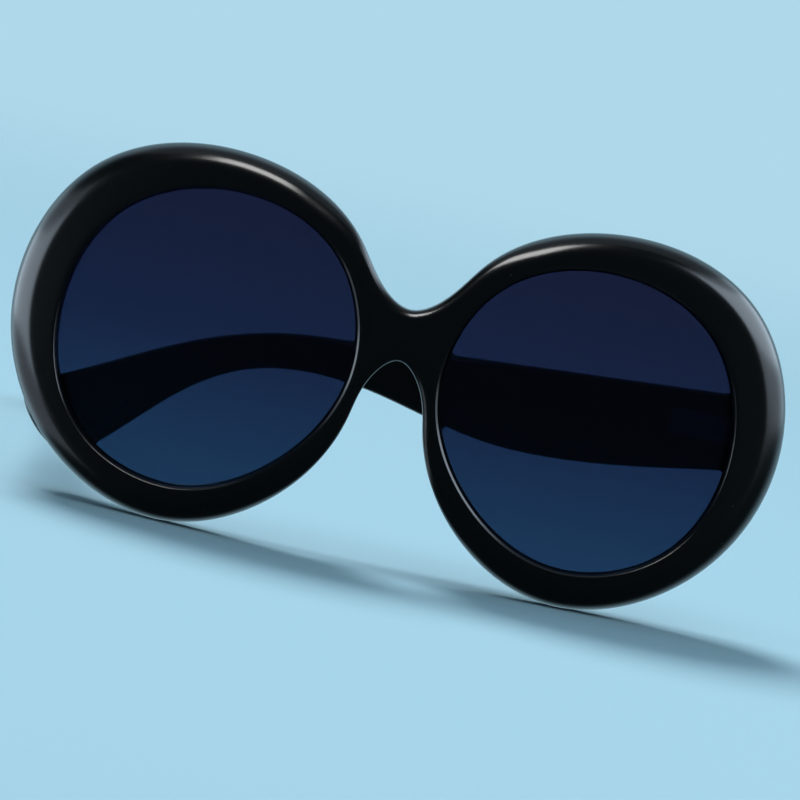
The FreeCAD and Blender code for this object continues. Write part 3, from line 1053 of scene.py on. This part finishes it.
@dataclass
class Studio:
    """The pale blue floor, the lights and the camera."""

    target: Vector
    lenses: bpy.types.Collection
    distance: float = 2.0
    field: float = 0.16
    elevation: float = 6.0
    roll: float = 12.4
    sensor: float = 36.0
    floor_radius: float = 1.2
    floor_corners: int = 96
    floor_grain: float = 900.0
    floor_shade: float = 0.97
    floor_roughness: float = 0.9
    floor_gloss: float = 0.1
    floor_fade: tuple[float, float] = (0.45, 1.0)
    floor_colour: Colour = (0.43, 0.685, 0.82, 1.0)
    backdrop_colour: Colour = (0.43, 0.69, 0.83, 1.0)
    backdrop_start: tuple[float, float] = (0.1, 0.7)
    ambient: Colour = (0.45, 0.8, 1.0, 1.0)
    ambient_strength: float = 0.035
    sun_strength: float = 2.4
    sun_softness: float = 25.0
    sun_way: tuple[float, float, float] = (0.3, -0.55, -0.8)

    def build_floor(self) -> None:
        """Makes a wide pale floor."""
        deselect_all()
        bpy.ops.mesh.primitive_circle_add(vertices=self.floor_corners, radius=self.floor_radius,
                                          fill_type="NGON")
        floor = bpy.context.object
        floor.name = "studio_floor"
        with editing(floor):
            bpy.ops.mesh.inset(thickness=self.floor_radius / 2)
        material, tree, shader, vector = new_finish("pale_blue_paper")
        grain = tree.noise(vector, self.floor_grain, 3.0)
        shade = tuple(channel * self.floor_shade for channel in self.floor_colour[:3]) + (1.0,)
        tree.join(tree.mixed(grain, self.floor_colour, shade), shader.inputs["Base Color"])
        reach = tree.add("VectorMath", operation="LENGTH")
        tree.join(vector, reach.inputs[0])
        tree.join(tree.ranged(reach.outputs["Value"], self.floor_fade, (1.0, 0.0)), shader.inputs["Alpha"])
        shader.inputs["Roughness"].default_value = self.floor_roughness
        shader.inputs["Specular IOR Level"].default_value = self.floor_gloss
        floor.data.materials.append(material)
        floor.visible_glossy = False
        floor.visible_shadow = False

    def build_world(self) -> None:
        """Sets a dim room, with the backdrop looked at, seen through a lens and mirrored from behind."""
        world = bpy.data.worlds.new("studio_room")
        world.use_nodes = True
        bpy.context.scene.world = world
        tree = Tree(world.node_tree)
        room = world.node_tree.nodes["Background"]
        room.inputs["Color"].default_value = self.ambient
        room.inputs["Strength"].default_value = self.ambient_strength
        backdrop = tree.add("Background")
        backdrop.inputs["Color"].default_value = self.backdrop_colour
        rays = tree.add("LightPath")
        seen = tree.math("MAXIMUM", rays.outputs["Is Camera Ray"], rays.outputs["Is Transmission Ray"])
        way = tree.add("SeparateXYZ")
        tree.join(tree.add("TexCoord").outputs["Generated"], way.inputs[0])
        behind = tree.ranged(way.outputs["Y"], self.backdrop_start, (0.0, 1.0))
        mirrored = tree.math("MULTIPLY", rays.outputs["Is Glossy Ray"], behind)
        seen = tree.math("MAXIMUM", seen, mirrored)
        choice = tree.add("MixShader")
        tree.join(seen, choice.inputs["Fac"])
        tree.join(room.outputs["Background"], choice.inputs[1])
        tree.join(backdrop.outputs["Background"], choice.inputs[2])
        tree.join(choice.outputs["Shader"], world.node_tree.nodes["World Output"].inputs["Surface"])

    def build_lights(self) -> None:
        """Makes the broad daylight and the soft boxes that the rims reflect."""
        lamp = bpy.data.lights.new("daylight", "SUN")
        lamp.energy = self.sun_strength
        lamp.angle = math.radians(self.sun_softness)
        sun = bpy.data.objects.new("daylight", lamp)
        sun.rotation_euler = Vector(self.sun_way).to_track_quat("-Z", "Y").to_euler()
        sun.visible_glossy = False
        bpy.context.scene.collection.objects.link(sun)
        for box in (SoftBox("key_box", Vector((-0.16, -0.47, 0.65)), 0.34, 0.3, 9.0, (1.0, 1.0, 1.0)),
                    SoftBox("left_core", Vector((-0.5, -0.01, 0.03)), 0.72, 0.17, 2.7),
                    SoftBox("left_panel", Vector((-0.5, 0.05, -0.03)), 0.81, 0.54, 0.8),
                    SoftBox("right_core", Vector((0.5, 0.0, 0.31)), 0.86, 0.26, 2.8),
                    SoftBox("right_panel", Vector((0.5, 0.035, 0.27)), 0.93, 0.48, 1.4),
                    SoftBox("top_panel", Vector((0.0, 0.15, 0.7)), 1.2, 0.9, 0.28),
                    SoftBox("shadow_fill", Vector((0.0, 0.0, 1.2)), 2.0, 2.0, 0.8, (0.78, 0.93, 1.0), False)):
            box.build(self.target, self.lenses)

    def build_camera(self) -> None:
        """Makes the camera, square to the front and rolled as the photograph is."""
        tilt = math.radians(self.elevation)
        roll = math.radians(self.roll)
        forward = Vector((0, math.cos(tilt), -math.sin(tilt)))
        level_up = Vector((0, math.sin(tilt), math.cos(tilt)))
        level_right = Vector((1, 0, 0))
        right = level_right * math.cos(roll) + level_up * math.sin(roll)
        up = level_up * math.cos(roll) - level_right * math.sin(roll)
        camera_data = bpy.data.cameras.new("camera")
        camera_data.sensor_width = self.sensor
        camera_data.lens = self.sensor * self.distance / self.field
        camera_data.clip_end = 100.0
        camera = bpy.data.objects.new("camera", camera_data)
        axes = Matrix((right, up, -forward)).transposed()
        camera.matrix_world = Matrix.Translation(self.target - forward * self.distance) @ axes.to_4x4()
        bpy.context.scene.collection.objects.link(camera)
        bpy.context.scene.camera = camera

    def build(self) -> None:
        """Builds the whole stage."""
        self.build_floor()
        self.build_world()
        self.build_lights()
        self.build_camera()
        bpy.context.scene.view_settings.view_transform = "Standard"


def main() -> None:
    """Builds the glasses and the stage."""
    logging.basicConfig(level=logging.INFO, format="%(message)s")
    glasses = Sunglasses()
    glasses.build()
    Studio(FrontPlane().matrix() @ PICTURE_MIDDLE, glasses.lenses).build()


if __name__ == "__main__":
    main()
